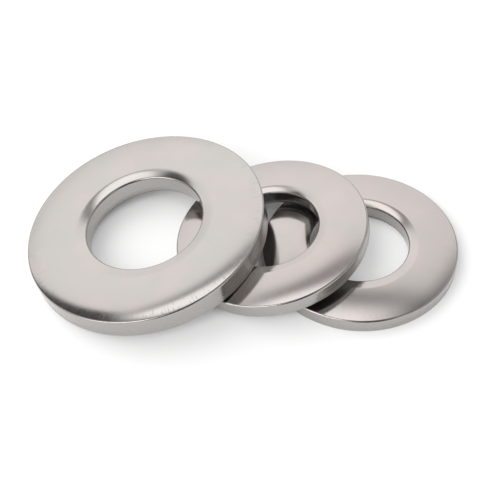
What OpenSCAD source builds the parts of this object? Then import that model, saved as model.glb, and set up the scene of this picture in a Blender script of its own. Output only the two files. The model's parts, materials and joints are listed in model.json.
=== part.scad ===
// Three flat steel washers set down in a row: the small one lies flat, the middle one leans on it,
// and the large one leans on the middle one. Each washer is one blanked and pierced disc.
// Millimetres, +Z up, the surface they rest on at z = 0, the flat washer's hole axis on x = y = 0.

/* [Small and middle washer] */
// Outside diameter
small_od = 16.7; // [10:0.1:30]
// Hole diameter
small_hole = 8.4; // [4:0.1:20]
// Thickness
small_t = 1.55; // [0.5:0.05:4]

/* [Large washer] */
// Outside diameter
large_od = 21.0; // [10:0.1:40]
// Hole diameter
large_hole = 10.3; // [4:0.1:25]
// Thickness
large_t = 2.1; // [0.5:0.05:4]

/* [Die roll and edge breaks] */
// Width of the rolled outer edge, as a share of the outside radius
roll_share = 0.12; // [0.02:0.01:0.3]
// Drop of the rolled outer edge, as a share of the outside radius
drop_share = 0.021; // [0.005:0.001:0.05]
// Width of the rolled hole edge, as a share of the outside radius
hole_roll_share = 0.075; // [0.02:0.005:0.2]
// Drop of the rolled hole edge, as a share of the outside radius
hole_drop_share = 0.018; // [0.005:0.001:0.05]
// Height of the broken edge around the underside
edge_break = 0.06; // [0.02:0.01:0.3]
// Height of the break-out at the underside of the hole
hole_break = 0.18; // [0.02:0.01:0.6]
// Width of the break-out at the underside of the hole
hole_break_w = 0.10; // [0.02:0.01:0.4]

/* [Row] */
// Middle washer's centre, to the left of the flat washer's hole axis
middle_left = 7.42; // [4:0.01:20]
// Large washer's centre, to the left of the flat washer's hole axis
large_left = 18.21; // [10:0.01:40]
// Large washer's centre, towards the front
large_front = 0.35; // [-3:0.01:3]
// Way the large washer leans, turned from straight left towards the front
large_turn = 9.8; // [-30:0.1:30]
// Gap kept between washers where they touch
touch_gap = 0.01; // [0:0.005:0.1]

/* [Hidden] */
$fn = 180;
small = [small_od / 2, small_hole / 2, small_t];
large = [large_od / 2, large_hole / 2, large_t];
eps = 1;

// Each washer is [radius, hole radius, thickness]
function roll_w(w) = roll_share * w[0];
function roll_d(w) = drop_share * w[0];
function hole_w(w) = hole_roll_share * w[0];
function hole_d(w) = hole_drop_share * w[0];
// Radius of the arc that leaves the face at a tangent and drops d over a width b
function arc_r(b, d) = (b * b + d * d) / (2 * d);
function arc_drop(b, d, x) = x <= 0 ? 0 : arc_r(b, d) - sqrt(max(0, pow(arc_r(b, d), 2) - x * x));

// Height of a washer's top at radius r, falling away steeply outside its walls
function top_at(w, r) = w[2]
    - arc_drop(roll_w(w), roll_d(w), min(roll_w(w), r - w[0] + roll_w(w)))
    - arc_drop(hole_w(w), hole_d(w), min(hole_w(w), w[1] + hole_w(w) - r))
    - 50 * max(0, r - w[0]) - 50 * max(0, w[1] - r);

// A pose is [centre of the underside, lean angle, way it leans]: the axis tips towards that way
function lean_axis(a, way) = [sin(a) * cos(way), sin(a) * sin(way), cos(a)];
function rim_point(c, a, way, r, s) = c
    + r * cos(s) * [cos(a) * cos(way), cos(a) * sin(way), -sin(a)]
    + r * sin(s) * [-sin(way), cos(way), 0];
// How far a point is below the top of washer w, which has its underside at c and axis n
function under_top(w, c, n, p) = let (z = (p - c) * n) top_at(w, norm(p - c - z * n)) - z;
// A leaning washer's underside centre: the lowest point of its rim stands on the surface
function stand(w, xy, a) = [xy[0], xy[1], (w[0] - edge_break) * sin(a)];
// The most that the edges of its underside cut into the washer below, in 1 degree steps
function worst(w, xy, a, way, below, c, n) =
    max([for (r = [w[1] + hole_break_w, w[0] - edge_break], s = [0:1:359])
        under_top(below, c, n, rim_point(stand(w, xy, a), a, way, r, s))]);
// Smallest lean at which it clears the washer below by the touch gap
function lean(w, xy, way, below, c, n, lo = 0, hi = 40, k = 22) = k == 0 ? hi :
    let (m = (lo + hi) / 2)
    worst(w, xy, m, way, below, c, n) > -touch_gap
        ? lean(w, xy, way, below, c, n, m, hi, k - 1)
        : lean(w, xy, way, below, c, n, lo, m, k - 1);

middle_xy = [-middle_left, 0];
middle_way = 180;
middle_a = lean(small, middle_xy, middle_way, small, [0, 0, 0], [0, 0, 1]);
middle_c = stand(small, middle_xy, middle_a);
large_xy = [-large_left, -large_front];
large_way = 180 + large_turn;
large_a = lean(large, large_xy, large_way, small, middle_c, lean_axis(middle_a, middle_way));
large_c = stand(large, large_xy, large_a);
echo(middle_lean = middle_a, middle_centre = middle_c, large_lean = large_a, large_centre = large_c);

// What the die roll takes off a corner at the origin: outward along +X, dropping d over a width b
module roll_cut(b, d) {
    difference() {
        translate([-b, -d]) square([b + eps, d + eps]);
        translate([-b, -arc_r(b, d)]) circle(r = arc_r(b, d));
    }
}

// One blanked washer with its underside centre on the origin: rolled edges on top, sharp walls
module washer(w) {
    rotate_extrude() {
        difference() {
            polygon([
                [w[1] + hole_break_w, 0], [w[0] - edge_break, 0], [w[0], edge_break],
                [w[0], w[2]], [w[1], w[2]], [w[1], hole_break]
            ]);
            translate([w[0], w[2]]) roll_cut(roll_w(w), roll_d(w));
            translate([w[1], w[2]]) mirror([1, 0]) roll_cut(hole_w(w), hole_d(w));
        }
    }
}

module leaning(c, a, way) {
    translate(c) rotate([0, 0, way]) rotate([0, a, 0]) children();
}

module flat_washer() {
    color([0.72, 0.71, 0.69]) washer(small);
}

module middle_washer() {
    color([0.70, 0.69, 0.68]) leaning(middle_c, middle_a, middle_way) washer(small);
}

module large_washer() {
    color([0.74, 0.73, 0.71]) leaning(large_c, large_a, large_way) washer(large);
}

flat_washer();
middle_washer();
large_washer();
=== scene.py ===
import json
import math

import bmesh
import bpy
from mathutils import Matrix, Vector


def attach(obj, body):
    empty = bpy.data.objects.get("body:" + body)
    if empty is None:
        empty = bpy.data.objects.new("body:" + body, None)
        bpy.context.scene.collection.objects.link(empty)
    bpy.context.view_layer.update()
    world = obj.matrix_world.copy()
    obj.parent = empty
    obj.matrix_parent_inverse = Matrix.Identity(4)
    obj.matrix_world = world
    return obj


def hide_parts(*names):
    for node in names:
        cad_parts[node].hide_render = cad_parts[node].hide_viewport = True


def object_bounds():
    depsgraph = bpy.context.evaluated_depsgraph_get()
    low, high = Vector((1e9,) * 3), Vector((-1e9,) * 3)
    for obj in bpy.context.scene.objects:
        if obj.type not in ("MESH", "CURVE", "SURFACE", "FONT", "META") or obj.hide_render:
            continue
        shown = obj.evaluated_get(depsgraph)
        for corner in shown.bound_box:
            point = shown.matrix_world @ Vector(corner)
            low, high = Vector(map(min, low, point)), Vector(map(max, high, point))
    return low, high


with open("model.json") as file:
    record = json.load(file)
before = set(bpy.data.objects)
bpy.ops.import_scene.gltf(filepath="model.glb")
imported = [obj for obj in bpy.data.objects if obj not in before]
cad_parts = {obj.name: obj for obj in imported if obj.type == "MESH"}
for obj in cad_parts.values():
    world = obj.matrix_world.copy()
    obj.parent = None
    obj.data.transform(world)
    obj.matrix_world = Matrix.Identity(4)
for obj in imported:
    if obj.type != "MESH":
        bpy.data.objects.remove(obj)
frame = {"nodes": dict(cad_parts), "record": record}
cad_low, cad_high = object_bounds()
record = frame["record"]

MM = 0.001
TURN = math.tau


# ---------------------------------------------------------------- the washers' frames, from the CAD
def mount(name):
    return next(m for m in record["mounts"] if m["name"] == name)


class Place:
    """Where a washer stands: its axis, the centre of its underside, and its sizes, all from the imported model."""

    def __init__(self, node, hole):
        m = mount(hole)
        self.axis = Vector(m["axis"]).normalized()
        point = Vector(m["pos_m"])
        heights, radii = [], []
        for v in frame["nodes"][node].data.vertices:
            d = v.co - point
            h = d.dot(self.axis)
            heights.append(h)
            radii.append((d - h * self.axis).length)
        self.foot = point + min(heights) * self.axis
        self.thick = max(heights) - min(heights)
        self.outer = max(radii)
        self.bore = min(radii)
        side = Vector((0, 1, 0)).cross(self.axis).normalized()
        turned = Matrix((side, self.axis.cross(side), self.axis)).transposed()
        self.to_row = Matrix.Translation(self.foot) @ turned.to_4x4()


# ---------------------------------------------------------------- the shape of a stamped washer
FACE, RIM, BORE, UNDER = range(4)
STEPS_ROUND = 288  # round the washer
STEPS_ACROSS = 84  # across its top, from the rim to the hole
FOOT_CORNER = 0.09 * MM  # radius at the foot of the rim


def profile(p, roll, drop, power, hole_roll, hole_drop, hole_power, lip, hole_lip, break_w, break_h):
    """The closed outline of half a washer, as (radius, height, surface).

    It runs from the underside's hole edge outward and back over the top. The top falls towards the rim by
    drop * s**power, with s from 0 to 1 across roll, and towards the hole likewise, as the die leaves it. Each
    top corner ends in a small round lip, and the hole's lower edge breaks out a little wider.
    """
    ro, ri, t = p.outer, p.bore, p.thick
    slope = math.atan(drop * power / roll)
    hole_slope = math.atan(hole_drop * hole_power / hole_roll)
    last = ro - lip * (1 - math.sin(slope))
    first = ri + hole_lip * (1 - math.sin(hole_slope))
    out = [(ri + break_w, 0.0, UNDER)]

    def line(r, z, n, kind):
        r0, z0, _ = out[-1]
        for i in range(1, n + 1):
            out.append((r0 + (r - r0) * i / n, z0 + (z - z0) * i / n, kind))

    def bend(r, z, radius, a0, a1, n, kind):
        for i in range(1, n + 1):
            a = math.radians(a0 + (a1 - a0) * i / n)
            out.append((r + radius * math.cos(a), z + radius * math.sin(a), kind))

    def top(r):
        outer = max(0.0, (r - (last - roll)) / roll)
        inner = max(0.0, (first + hole_roll - r) / hole_roll)
        return t - drop * outer**power - hole_drop * inner**hole_power

    line(ro - FOOT_CORNER, 0.0, 12, UNDER)
    bend(ro - FOOT_CORNER, FOOT_CORNER, FOOT_CORNER, -90, 0, 5, RIM)
    rim_z = top(last) - lip * math.cos(slope)
    line(ro, rim_z, 10, RIM)
    bend(ro - lip, rim_z, lip, 0, 90 - math.degrees(slope), 9, RIM)
    # across the top, in closer steps near both edges
    for i in range(1, STEPS_ACROSS + 1):
        eased = 0.5 + 0.5 * math.cos(math.pi * i / STEPS_ACROSS)
        even = 1 - i / STEPS_ACROSS
        r = first + (last - first) * (0.75 * eased + 0.25 * even)
        out.append((r, top(r), FACE))
    bore_z = top(first) - hole_lip * math.cos(hole_slope)
    bend(ri + hole_lip, bore_z, hole_lip, 90 + math.degrees(hole_slope), 180, 7, BORE)
    line(ri, break_h, 8, BORE)
    line(ri + break_w * 0.25, break_h * 0.62, 2, BORE)
    line(ri + break_w, 0.0, 4, BORE)
    out.pop()
    return out


def washer(name, node, p, body, shape, materials, less=0.0, towards=0.0):
    """One washer, turned about its own axis, with its vertices in the row's frame.

    The layer 'spot' keeps each vertex's place in the washer's own frame, for the materials. The punch went
    in slightly askew: the rim is rolled over less towards one angle in degrees, by the share less (more, if
    it is negative), and the hole is rolled over less at the front.
    """
    outline = profile(p, **shape)

    def ease(r, z, a):
        """How much higher the top is, where it is rolled over less."""
        outer = max(0.0, 1 - (p.outer - r) / shape["roll"])
        inner = max(0.0, 1 - (r - p.bore) / shape["hole_roll"])
        upper_part = min(1.0, max(0.0, 2.5 * z / p.thick - 1.0))
        facing = max(0.0, math.cos(a - math.radians(towards))) ** 2
        front = max(0.0, -math.sin(a)) ** 1.5
        rim = shape["drop"] * outer ** shape["power"] * less * facing
        hole = shape["hole_drop"] * min(1.0, inner) ** shape["hole_power"] * 0.5 * front
        return upper_part * (rim + hole)

    mesh = bpy.data.meshes.new(name)
    bm = bmesh.new()
    spot = bm.verts.layers.float_vector.new("spot")
    rings = []
    for r, z, _ in outline:
        ring = []
        for k in range(STEPS_ROUND):
            a = TURN * k / STEPS_ROUND
            local = Vector((r * math.cos(a), r * math.sin(a), z + ease(r, z, a)))
            v = bm.verts.new(p.to_row @ local)
            v[spot] = local
            ring.append(v)
        rings.append(ring)
    for i, lower in enumerate(rings):
        after = (i + 1) % len(rings)
        upper, kind = rings[after], outline[after][2]
        for k in range(STEPS_ROUND):
            j = (k + 1) % STEPS_ROUND
            f = bm.faces.new((lower[k], lower[j], upper[j], upper[k]))
            f.material_index = kind
            f.smooth = True
    bm.normal_update()
    bmesh.ops.recalc_face_normals(bm, faces=bm.faces)
    bm.to_mesh(mesh)
    bm.free()
    for m in materials:
        mesh.materials.append(m)
    obj = bpy.data.objects.new(name, mesh)
    bpy.context.collection.objects.link(obj)
    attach(obj, body)
    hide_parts(node)


# ---------------------------------------------------------------- materials
class Nodes:
    """Short ways to add nodes to a tree. Each takes numbers or sockets, and gives back a socket."""

    def __init__(self, tree):
        self.tree = tree

    def add(self, kind, **values):
        n = self.tree.nodes.new(kind)
        for k, v in values.items():
            setattr(n, k, v)
        return n

    def put(self, value, socket):
        if isinstance(value, bpy.types.NodeSocket):
            self.tree.links.new(value, socket)
        else:
            socket.default_value = value

    def fill(self, n, values):
        for value, socket in zip(values, n.inputs):
            self.put(value, socket)
        return n.outputs[0]

    def math(self, op, *values):
        return self.fill(self.add("ShaderNodeMath", operation=op), values)

    def plus(self, a, b):
        return self.math("ADD", a, b)

    def minus(self, a, b):
        return self.math("SUBTRACT", a, b)

    def times(self, a, b):
        return self.math("MULTIPLY", a, b)

    def vector(self, op, *values):
        n = self.add("ShaderNodeVectorMath", operation=op)
        self.fill(n, values)
        return n.outputs["Value"] if op in ("LENGTH", "DOT_PRODUCT") else n.outputs[0]

    def join(self, x, y, z):
        return self.fill(self.add("ShaderNodeCombineXYZ"), (x, y, z))

    def split(self, v):
        n = self.add("ShaderNodeSeparateXYZ")
        self.put(v, n.inputs[0])
        return n.outputs

    def ramp(self, value, lo, hi, a=0.0, b=1.0):
        """From a to b as value goes from lo to hi, eased at both ends."""
        n = self.add("ShaderNodeMapRange", interpolation_type="SMOOTHSTEP")
        return self.fill(n, (value, lo, hi, a, b))

    def noise(self, v, scale, detail, rough, w=None):
        n = self.add("ShaderNodeTexNoise", noise_dimensions="3D" if w is None else "4D")
        self.put(v, n.inputs["Vector"])
        n.inputs["Scale"].default_value = scale
        n.inputs["Detail"].default_value = detail
        n.inputs["Roughness"].default_value = rough
        if w is not None:
            n.inputs["W"].default_value = w
        return n.outputs[0]

    def mix(self, factor, a, b):
        n = self.add("ShaderNodeMix", data_type="RGBA")
        self.put(factor, n.inputs[0])
        self.put(a, n.inputs[6])
        self.put(b, n.inputs[7])
        return n.outputs[2]

    def bump(self, height, distance):
        n = self.add("ShaderNodeBump")
        n.inputs["Strength"].default_value = 0.5
        n.inputs["Distance"].default_value = distance
        self.put(height, n.inputs["Height"])
        return n.outputs[0]


# Steel tones, three to a set, that drift into each other over the surface
EDGE = ((0.440, 0.416, 0.400, 1.0), (0.426, 0.410, 0.393, 1.0), (0.454, 0.421, 0.403, 1.0))
# painted shade: the underside is the same rolled steel as the face, given darker tones to stand in for the shade
# beneath the washers
UNDER_PAINTED_SHADE = ((0.210, 0.200, 0.193, 1.0), (0.200, 0.195, 0.186, 1.0), (0.224, 0.204, 0.197, 1.0))
PINK = ((0.547, 0.500, 0.480, 1.0), (0.526, 0.498, 0.475, 1.0), (0.575, 0.512, 0.495, 1.0))
WARM = ((0.547, 0.512, 0.490, 1.0), (0.526, 0.512, 0.484, 1.0), (0.575, 0.522, 0.505, 1.0))
WORN = (0.60, 0.59, 0.57, 1.0)  # rubbed bright along the edges
DRAWN_TONE = (0.36, 0.35, 0.34, 1.0)  # strokes where the sheet is drawn over the edge
TORN_TONE = (0.40, 0.39, 0.37, 1.0)  # the lower part of a sheared wall
SHEAR_TONE = (0.38, 0.37, 0.35, 1.0)  # strokes down a sheared wall
FACE_ROUGH, RIM_ROUGH, BORE_ROUGH, UNDER_ROUGH = 0.13, 0.20, 0.18, 0.34


def steel(name, p, seed, kind, tones, rough, roll_start=None, drawn=None):
    """Steel for one surface of a washer: its face, rim, bore or under side.

    The face and the underside are the sheet's own rolled surface, and the rim and the bore are sheared; the
    underside's darker tones are painted shade.
    drawn is how strongly the face is stroked from the radius roll_start outward. The patterns lie in the
    washer's own frame, in millimetres.
    """
    m = bpy.data.materials.new(name)
    m.use_nodes = True
    n = Nodes(m.node_tree)
    shader = m.node_tree.nodes["Principled BSDF"]
    shader.inputs["Metallic"].default_value = 1.0
    outer_mm, bore_mm, thick_mm = p.outer / MM, p.bore / MM, p.thick / MM

    place = n.add("ShaderNodeAttribute", attribute_name="spot").outputs["Vector"]
    place = n.vector("MULTIPLY", place, (1000.0, 1000.0, 1000.0))
    x, y, z = n.split(place)
    radius = n.vector("LENGTH", n.join(x, y, 0.0))
    angle = n.math("ARCTAN2", y, x)
    shifted = n.vector("ADD", place, (seed * 3.7, seed * 1.9, seed * 7.3))

    soft = n.noise(shifted, 0.23, 2.0, 0.45)
    tint = n.noise(n.vector("ADD", shifted, (31.0, 7.0, 0.0)), 0.35, 1.0, 0.5)
    colour = n.mix(n.ramp(soft, 0.35, 0.65), tones[0], tones[1])
    colour = n.mix(n.times(n.ramp(tint, 0.42, 0.68), 0.6), colour, tones[2])
    grain = n.noise(shifted, 7.0, 3.0, 0.6)

    # strokes across the edge: about 0.1 mm wide round the washer, and several times as long across it
    flat_on = kind in ("face", "under")
    round_it = 7.0 * outer_mm
    across = n.join(
        n.times(n.math("COSINE", angle), round_it),
        n.times(n.math("SINE", angle), round_it),
        n.times(radius if flat_on else z, 1.6 if flat_on else 0.7),
    )
    strokes = n.noise(across, 1.0, 2.0, 0.6, w=seed)

    if kind == "face":
        outer = n.ramp(radius, roll_start, outer_mm, 0.0, drawn)
        rubbed = n.math(
            "MAXIMUM",
            n.ramp(radius, outer_mm - 0.30, outer_mm - 0.05),
            n.ramp(radius, bore_mm + 0.25, bore_mm + 0.05),
        )
        amount = n.plus(n.times(n.times(n.ramp(strokes, 0.45, 0.75), outer), 0.10), rough)
        amount = n.plus(amount, n.times(n.minus(grain, 0.5), 0.08))
        colour = n.mix(n.times(rubbed, 0.30), colour, WORN)
        colour = n.mix(n.times(n.times(n.ramp(strokes, 0.52, 0.74), outer), 0.38), colour, DRAWN_TONE)
        height = n.plus(n.times(grain, 0.35), n.times(strokes, outer))
        normal = n.bump(height, 0.0022 * MM)
    elif kind == "under":
        amount = n.plus(n.times(grain, 0.14), rough)
        normal = n.bump(grain, 0.003 * MM)
    else:
        # a sheared wall: burnished where the punch slid, torn and duller below
        broad = n.noise(across, 0.22, 2.0, 0.5, w=seed + 4.0)
        share = n.math("DIVIDE", z, thick_mm)
        wander = n.plus(share, n.times(n.minus(broad, 0.5), 0.20))
        torn = n.ramp(wander, 0.34, 0.22)
        amount = n.plus(n.times(torn, 0.12), rough)
        amount = n.plus(amount, n.times(n.minus(strokes, 0.5), 0.10))
        colour = n.mix(n.times(torn, 0.30), colour, TORN_TONE)
        colour = n.mix(n.times(n.ramp(strokes, 0.50, 0.75), 0.18), colour, SHEAR_TONE)
        height = n.plus(strokes, n.times(n.times(grain, torn), 1.2))
        normal = n.bump(height, 0.0025 * MM)
    n.put(colour, shader.inputs["Base Color"])
    n.put(amount, shader.inputs["Roughness"])
    n.put(normal, shader.inputs["Normal"])
    return m


def finish_set(tag, p, seed, roll_start, tones, drawn):
    """A washer's four materials, in the order FACE, RIM, BORE, UNDER."""
    return [
        steel(f"{tag}_face", p, seed, "face", tones, FACE_ROUGH, roll_start, drawn),
        steel(f"{tag}_rim", p, seed + 1.0, "rim", EDGE, RIM_ROUGH),
        steel(f"{tag}_bore", p, seed + 2.0, "bore", EDGE, BORE_ROUGH),
        # the underside in darker tones, a painted shade
        steel(f"{tag}_under", p, seed + 3.0, "under", UNDER_PAINTED_SHADE, UNDER_ROUGH),
    ]


# ---------------------------------------------------------------- the three washers
def shape_mm(**sizes):
    """Sizes in millimetres, turned into metres. The powers are plain numbers."""
    return {k: v if k in ("power", "hole_power") else v * MM for k, v in sizes.items()}


flat_shape = shape_mm(
    roll=3.92, drop=0.26, power=1.83, lip=0.17,
    hole_roll=0.74, hole_drop=0.165, hole_power=1.26, hole_lip=0.16,
    break_w=0.13, break_h=0.40,
)
middle_shape = flat_shape | shape_mm(drop=0.235, power=2.6, hole_roll=0.68, hole_drop=0.155)
large_shape = shape_mm(
    roll=4.5, drop=0.23, power=4.6, lip=0.17,
    hole_roll=0.88, hole_drop=0.200, hole_power=1.24, hole_lip=0.18,
    break_w=0.20, break_h=0.60,
)

flat = Place("flat_washer", "flat_hole")
middle = Place("middle_washer", "middle_hole")
large = Place("large_washer", "large_hole")

washer(
    "flat_steel", "flat_washer", flat, "flat", flat_shape,
    finish_set("flat", flat, 1.0, 5.2, PINK, 0.2), less=-0.8, towards=180.0,
)
washer(
    "middle_steel", "middle_washer", middle, "middle", middle_shape,
    finish_set("middle", middle, 11.0, 5.2, PINK, 0.35),
)
washer(
    "large_steel", "large_washer", large, "large", large_shape,
    finish_set("large", large, 21.0, 8.9, WARM, 1.0), less=0.7, towards=10.0,
)

# ---------------------------------------------------------------- floor
FLOOR_RADIUS = 6.0
FLOOR_GAP = 0.02 * MM  # under the lowest washer, so that no faces share a plane
GLOW, PAINTED_SHADOW_GLOW = 0.30, 0.03
PAINTED_SHADOW_REACH = 12 * MM  # how far off a washer can be and still darken the glow, in a painted shadow


def floor_material():
    """Matt and pale, with a glow of its own that fades where the washers close over it: a painted contact shadow.
    """
    m = bpy.data.materials.new("studio_floor")
    m.use_nodes = True
    n = Nodes(m.node_tree)
    shader = m.node_tree.nodes["Principled BSDF"]
    place = n.add("ShaderNodeTexCoord").outputs["Object"]
    cloud = n.noise(place, 40.0, 2.0, 0.5)
    n.put(n.mix(cloud, (0.42, 0.42, 0.417, 1.0), (0.43, 0.43, 0.43, 1.0)), shader.inputs["Base Color"])
    shader.inputs["Roughness"].default_value = 0.9
    shader.inputs["Specular IOR Level"].default_value = 0.1
    shader.inputs["Emission Color"].default_value = (1.0, 1.0, 1.0, 1.0)
    # painted shadow: the glow is turned down by ambient occlusion under and between the washers
    ao_for_painted_shadow = n.add("ShaderNodeAmbientOcclusion", samples=8)
    ao_for_painted_shadow.inputs["Distance"].default_value = PAINTED_SHADOW_REACH
    glow = n.ramp(ao_for_painted_shadow.outputs["AO"], 0.06, 0.31, PAINTED_SHADOW_GLOW, GLOW)
    n.put(glow, shader.inputs["Emission Strength"])
    return m


bm = bmesh.new()
bmesh.ops.create_circle(bm, cap_ends=True, segments=96, radius=FLOOR_RADIUS)
floor_mesh = bpy.data.meshes.new("studio_floor")
bm.to_mesh(floor_mesh)
bm.free()
floor_mesh.materials.append(floor_material())
floor = bpy.data.objects.new("studio_floor", floor_mesh)
floor.location = (0, 0, cad_low.z - FLOOR_GAP)
bpy.context.collection.objects.link(floor)

# ---------------------------------------------------------------- light
# The dome's soft panels: centre, half length and half width in a plan of the sky, turn, softness, radiance
PANELS = (
    (-0.44, 0.75, 0.065, 0.06, 0.00, 0.80, 0.84),  # a paler patch low on the back wall
    (-0.01, 0.085, 0.50, 0.44, -0.91, 0.10, 0.27),  # the dark gap round the top light
    (0.24, 0.33, 0.45, 0.08, 1.08, 0.72, 0.00),  # a flag to the right
    (-0.29, 0.29, 0.17, 0.095, 0.70, 0.30, 1.22),  # the top light
    (-0.14, 0.318, 0.27, 0.100, 0.32, 0.40, 1.18),  # its other half
)
FRONT_PANELS = (
    (-0.12, -0.57, 0.62, 0.12, 0.05, 0.40, 3.4),  # a low light strip
    (0.20, -0.68, 0.36, 0.34, 0.00, 0.25, 0.06),  # the dark camera in it
)


def studio_sky():
    """A soft white dome with panels and gaps, laid out by direction."""
    world = bpy.data.worlds.new("studio")
    world.use_nodes = True
    n = Nodes(world.node_tree)
    toward = n.vector("NORMALIZE", n.add("ShaderNodeTexCoord").outputs["Generated"])
    x, y, z = n.split(toward)

    def panel(cx, cy, long, wide, turn, soft):
        """1 in an ellipse round a direction, seen from above, falling to 0 across its soft edge."""
        c, s = math.cos(turn), math.sin(turn)
        u = n.vector("DOT_PRODUCT", toward, (c / long, s / long, 0.0))
        v = n.vector("DOT_PRODUCT", toward, (-s / wide, c / wide, 0.0))
        u = n.plus(u, -(cx * c + cy * s) / long)
        v = n.plus(v, (cx * s - cy * c) / wide)
        return n.ramp(n.vector("LENGTH", n.join(u, v, 0.0)), 1.0 - soft, 1.0 + soft, 1.0, 0.0)

    def blend_to(level, value, mask):
        return n.plus(level, n.times(mask, n.minus(value, level)))

    # the back wall, a little brighter upwards and to the left
    slope = n.plus(n.vector("DOT_PRODUCT", toward, (-0.24, 0.50, 0.0)), 0.70)
    high = n.times(n.ramp(z, 0.30, 0.74, 0.76, 1.0), n.ramp(z, -0.02, 0.30, 0.25, 1.0))
    level = n.times(n.times(slope, high), 0.83)
    for *where, value in PANELS:
        level = blend_to(level, value, panel(*where))
    # the black flag at the left
    ends = n.times(n.ramp(y, 0.385, 0.315), n.ramp(y, -0.10, 0.10))
    level = blend_to(level, 0.06, n.times(n.ramp(x, -0.445, -0.515), ends))
    # the front of the tent
    level = blend_to(level, 0.50, n.ramp(y, -0.30, -0.50))
    for *where, value in FRONT_PANELS:
        level = blend_to(level, value, panel(*where))
    # a pale line at the horizon, so that the floor ends in white
    level = blend_to(level, 1.3, n.ramp(z, 0.07, 0.03))

    back = world.node_tree.nodes["Background"]
    n.put(n.join(level, level, level), back.inputs["Color"])
    back.inputs["Strength"].default_value = 1.0
    return world


def floor_light(name, towards, energy, spread):
    """A broad soft light for the floor. It doesn't show in the steel, which reflects only the dome."""
    sun = bpy.data.lights.new(name, "SUN")
    sun.energy = energy
    sun.angle = math.radians(spread)
    obj = bpy.data.objects.new(name, sun)
    obj.rotation_euler = Vector(towards).to_track_quat("Z", "Y").to_euler()
    obj.visible_glossy = False
    bpy.context.collection.objects.link(obj)


bpy.context.scene.world = studio_sky()
floor_light("key", (-0.62, 0.24, 0.75), 1.75, 60)  # from the left, high and a little behind
floor_light("fill", (-0.35, -0.72, 0.50), 1.35, 60)  # from low in front

# ---------------------------------------------------------------- camera
LOOK_AT = Vector((-10.091, 0.435, 0.0)) * MM
AZIMUTH, ELEVATION, ROLL = (math.radians(v) for v in (9.254, 49.405, -4.612))
DISTANCE = 82.827 * MM
LENS, SENSOR = 69.1746, 36.0

level_out = math.cos(ELEVATION)
behind = Vector((math.sin(AZIMUTH) * level_out, -math.cos(AZIMUTH) * level_out, math.sin(ELEVATION)))
right = (-behind).cross(Vector((0, 0, 1))).normalized()
up = right.cross(-behind).normalized()
cam_x = math.cos(ROLL) * right + math.sin(ROLL) * up
cam_y = -math.sin(ROLL) * right + math.cos(ROLL) * up
turned = Matrix((cam_x, cam_y, behind)).transposed().to_4x4()

data = bpy.data.cameras.new("camera")
data.sensor_width = SENSOR
data.lens = LENS
data.clip_start, data.clip_end = 0.005, 20.0
camera = bpy.data.objects.new("camera", data)
camera.matrix_world = Matrix.Translation(LOOK_AT + behind * DISTANCE) @ turned
bpy.context.collection.objects.link(camera)

scene = bpy.context.scene
bpy.context.scene.camera = camera
scene.view_settings.view_transform = "Standard"
scene.view_settings.look = "None"
scene.view_settings.exposure = 0.45
